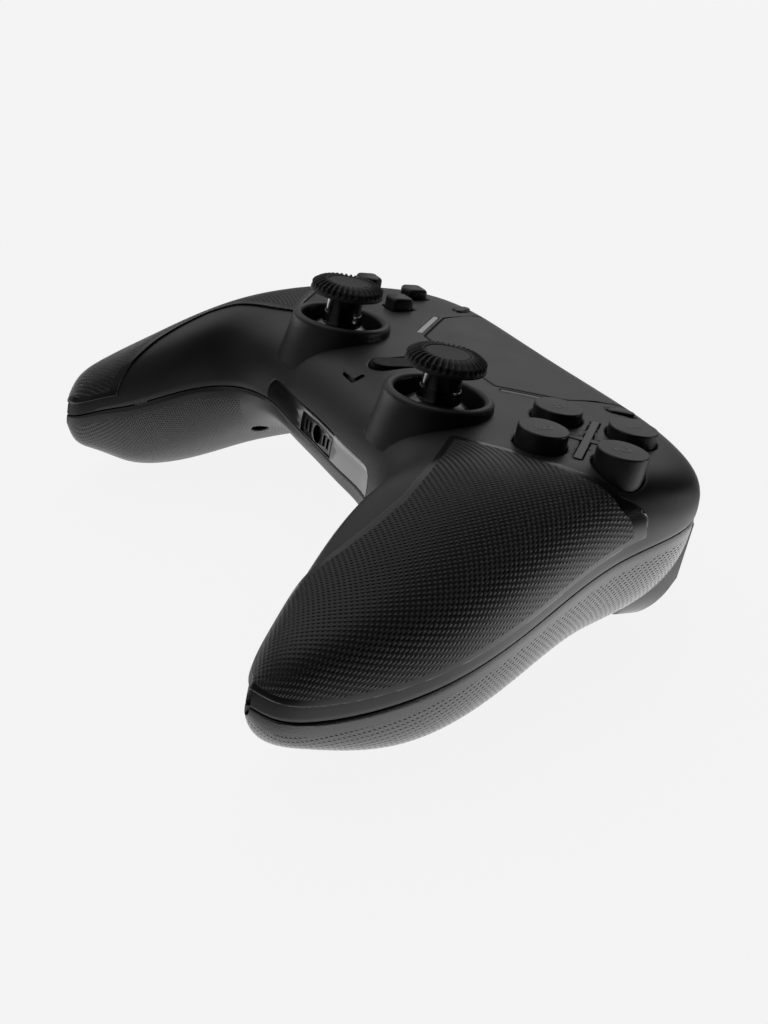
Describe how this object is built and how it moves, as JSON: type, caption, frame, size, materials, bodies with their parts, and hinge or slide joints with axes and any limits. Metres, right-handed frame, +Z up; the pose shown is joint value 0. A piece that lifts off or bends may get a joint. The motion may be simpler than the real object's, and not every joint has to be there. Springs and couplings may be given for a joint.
{
  "type": "gamepad controller",
  "caption": "Two-handed game controller with twin thumbsticks, direction keys, face buttons, touch pad, bumpers and sprung triggers, lying on a table.",
  "frame": {"origin": "middle of the footprint, on the table that the pad lies on", "axes": "+X to the player's right, +Y away from the player, +Z up from the table; the face leans 12.5 degrees towards the rear"},
  "size_m": [0.1588, 0.1117, 0.0593],
  "materials": {
    "battery_wrap": "wrapped cell",
    "board_green": "coated board",
    "clear_grey": "smoked inlay",
    "film": "dimpled film with a smooth edge",
    "gloss_black": "polished",
    "gold_contact": "plated",
    "inner_plastic": "plain",
    "key_plastic": "satin",
    "matte_black": "fine matte grain",
    "membrane_rubber": "soft",
    "steel": "plain",
    "stick_rubber": "matte",
    "white_window": "milky, lets light through"
  },
  "bodies": {
    "housing": {"battery": "battery_wrap", "bottom_shell": "matte_black", "bumper_switches": "inner_plastic", "button_inlay": "clear_grey", "button_membrane": "membrane_rubber", "connector_panel": "gloss_black", "contact_strips": "gold_contact", "front_trim": "gloss_black", "grip_film_left": "film", "grip_film_right": "film", "headset_socket": "inner_plastic", "key_membrane": "membrane_rubber", "light_strip_left": "white_window", "light_strip_right": "white_window", "main_board": "board_green", "middle_frame": "inner_plastic", "rumble_motor_left": "steel", "rumble_motor_right": "steel", "shell_screws": "steel", "speaker": "inner_plastic", "stick_housing_left": "inner_plastic", "stick_housing_right": "inner_plastic", "stick_sensors_left": "inner_plastic", "stick_sensors_right": "inner_plastic", "top_shell": "matte_black", "trigger_mount_left": "inner_plastic", "trigger_mount_right": "inner_plastic", "trigger_pin_left": "steel", "trigger_pin_right": "steel", "trigger_spring_left": "steel", "trigger_spring_right": "steel", "usb_socket": "steel"},
    "touch_pad": {"touch_pad": "matte_black"},
    "key_rocker": {"key_fulcrum": "steel"},
    "direction_keys": {"direction_keys": "key_plastic"},
    "small_button_left": {"small_button_left": "key_plastic"},
    "small_button_right": {"small_button_right": "key_plastic"},
    "home_button": {"home_button": "gloss_black"},
    "mute_button": {"mute_button": "key_plastic"},
    "face_button_1": {"face_button_1": "key_plastic"},
    "face_button_2": {"face_button_2": "key_plastic"},
    "face_button_3": {"face_button_3": "key_plastic"},
    "face_button_4": {"face_button_4": "key_plastic"},
    "stick_saddle_left": {"stick_saddle_left": "inner_plastic"},
    "stick_block_left": {"stick_block_left": "inner_plastic"},
    "stick_left": {"stick_post_left": "gloss_black", "stick_cap_left": "stick_rubber"},
    "stick_arch_left": {"stick_arch_left": "inner_plastic"},
    "trigger_left": {"trigger_left": "key_plastic"},
    "bumper_left": {"bumper_left": "key_plastic"},
    "stick_saddle_right": {"stick_saddle_right": "inner_plastic"},
    "stick_block_right": {"stick_block_right": "inner_plastic"},
    "stick_right": {"stick_post_right": "gloss_black", "stick_cap_right": "stick_rubber"},
    "stick_arch_right": {"stick_arch_right": "inner_plastic"},
    "trigger_right": {"trigger_right": "key_plastic"},
    "bumper_right": {"bumper_right": "key_plastic"}
  },
  "joints": [
    {"name": "face_button_1_press", "type": "slide", "parent": "housing", "child": "face_button_1", "axis": [0, -0.2164, -0.9763], "range_m": [0, 0.0012], "stiffness_N_per_m": 150, "springref_m": -0.0008},
    {"name": "face_button_2_press", "type": "slide", "parent": "housing", "child": "face_button_2", "axis": [0, -0.2164, -0.9763], "range_m": [0, 0.0012], "stiffness_N_per_m": 150, "springref_m": -0.0008},
    {"name": "face_button_3_press", "type": "slide", "parent": "housing", "child": "face_button_3", "axis": [0, -0.2164, -0.9763], "range_m": [0, 0.0012], "stiffness_N_per_m": 150, "springref_m": -0.0008},
    {"name": "face_button_4_press", "type": "slide", "parent": "housing", "child": "face_button_4", "axis": [0, -0.2164, -0.9763], "range_m": [0, 0.0012], "stiffness_N_per_m": 150, "springref_m": -0.0008},
    {"name": "small_button_left_press", "type": "slide", "parent": "housing", "child": "small_button_left", "axis": [0, -0.2164, -0.9763], "range_m": [0, 0.0005], "stiffness_N_per_m": 150, "springref_m": -0.0008},
    {"name": "small_button_right_press", "type": "slide", "parent": "housing", "child": "small_button_right", "axis": [0, -0.2164, -0.9763], "range_m": [0, 0.0005], "stiffness_N_per_m": 150, "springref_m": -0.0008},
    {"name": "home_button_press", "type": "slide", "parent": "housing", "child": "home_button", "axis": [0, -0.2164, -0.9763], "range_m": [0, 0.0004], "stiffness_N_per_m": 150, "springref_m": -0.0008},
    {"name": "mute_button_press", "type": "slide", "parent": "housing", "child": "mute_button", "axis": [0, -0.2164, -0.9763], "range_m": [0, 0.0004], "stiffness_N_per_m": 150, "springref_m": -0.0008},
    {"name": "touch_pad_press", "type": "hinge", "parent": "housing", "child": "touch_pad", "pos_m": [0, 0.05245, 0.03748], "axis": [-1, 0, 0], "range_deg": [0, 0.85], "stiffness_Nm_per_rad": 0.6, "springref_deg": -1.72},
    {"name": "keys_tilt_fore_aft", "type": "hinge", "parent": "housing", "child": "key_rocker", "pos_m": [-0.0484, 0.02806, 0.03557], "axis": [1, 0, 0], "range_deg": [-2, 2], "stiffness_Nm_per_rad": 0.05},
    {"name": "keys_tilt_sideways", "type": "hinge", "parent": "key_rocker", "child": "direction_keys", "pos_m": [-0.0484, 0.02806, 0.03557], "axis": [0, 0.9763, -0.2164], "range_deg": [-2, 2], "stiffness_Nm_per_rad": 0.05},
    {"name": "stick_left_fore_aft", "type": "hinge", "parent": "housing", "child": "stick_saddle_left", "pos_m": [-0.0251, 0.0048, 0.03739], "axis": [1, 0, 0], "range_deg": [-14, 14], "stiffness_Nm_per_rad": 0.02},
    {"name": "stick_left_sideways", "type": "hinge", "parent": "stick_saddle_left", "child": "stick_block_left", "pos_m": [-0.0251, 0.0048, 0.03739], "axis": [0, 0.9763, -0.2164], "range_deg": [-14, 14], "stiffness_Nm_per_rad": 0.02},
    {"name": "stick_left_click", "type": "slide", "parent": "stick_block_left", "child": "stick_left", "axis": [0, -0.2164, -0.9763], "range_m": [0, 0.0005], "stiffness_N_per_m": 1500, "springref_m": -0.0008},
    {"name": "stick_left_arch_swing", "type": "hinge", "parent": "housing", "child": "stick_arch_left", "pos_m": [-0.0251, 0.0048, 0.03739], "axis": [0, 0.9763, -0.2164], "range_deg": [-14, 14]},
    {"name": "trigger_left_pull", "type": "hinge", "parent": "housing", "child": "trigger_left", "pos_m": [-0.053, 0.03922, 0.02167], "axis": [-1, 0, 0], "range_deg": [0, 16], "stiffness_Nm_per_rad": 0.06, "springref_deg": -34.38},
    {"name": "bumper_left_press", "type": "slide", "parent": "housing", "child": "bumper_left", "axis": [0, -0.9763, 0.2164], "range_m": [0, 0.0006], "stiffness_N_per_m": 150, "springref_m": -0.0008},
    {"name": "stick_right_fore_aft", "type": "hinge", "parent": "housing", "child": "stick_saddle_right", "pos_m": [0.0251, 0.0048, 0.03739], "axis": [1, 0, 0], "range_deg": [-14, 14], "stiffness_Nm_per_rad": 0.02},
    {"name": "stick_right_sideways", "type": "hinge", "parent": "stick_saddle_right", "child": "stick_block_right", "pos_m": [0.0251, 0.0048, 0.03739], "axis": [0, 0.9763, -0.2164], "range_deg": [-14, 14], "stiffness_Nm_per_rad": 0.02},
    {"name": "stick_right_click", "type": "slide", "parent": "stick_block_right", "child": "stick_right", "axis": [0, -0.2164, -0.9763], "range_m": [0, 0.0005], "stiffness_N_per_m": 1500, "springref_m": -0.0008},
    {"name": "stick_right_arch_swing", "type": "hinge", "parent": "housing", "child": "stick_arch_right", "pos_m": [0.0251, 0.0048, 0.03739], "axis": [0, 0.9763, -0.2164], "range_deg": [-14, 14]},
    {"name": "trigger_right_pull", "type": "hinge", "parent": "housing", "child": "trigger_right", "pos_m": [0.053, 0.03922, 0.02167], "axis": [-1, 0, 0], "range_deg": [0, 16], "stiffness_Nm_per_rad": 0.06, "springref_deg": -34.38},
    {"name": "bumper_right_press", "type": "slide", "parent": "housing", "child": "bumper_right", "axis": [0, -0.9763, 0.2164], "range_m": [0, 0.0006], "stiffness_N_per_m": 150, "springref_m": -0.0008}
  ],
  "couplings": [
    {"joint": "stick_left_arch_swing", "follows": "stick_left_sideways", "ratio": 1},
    {"joint": "stick_right_arch_swing", "follows": "stick_right_sideways", "ratio": 1}
  ]
}
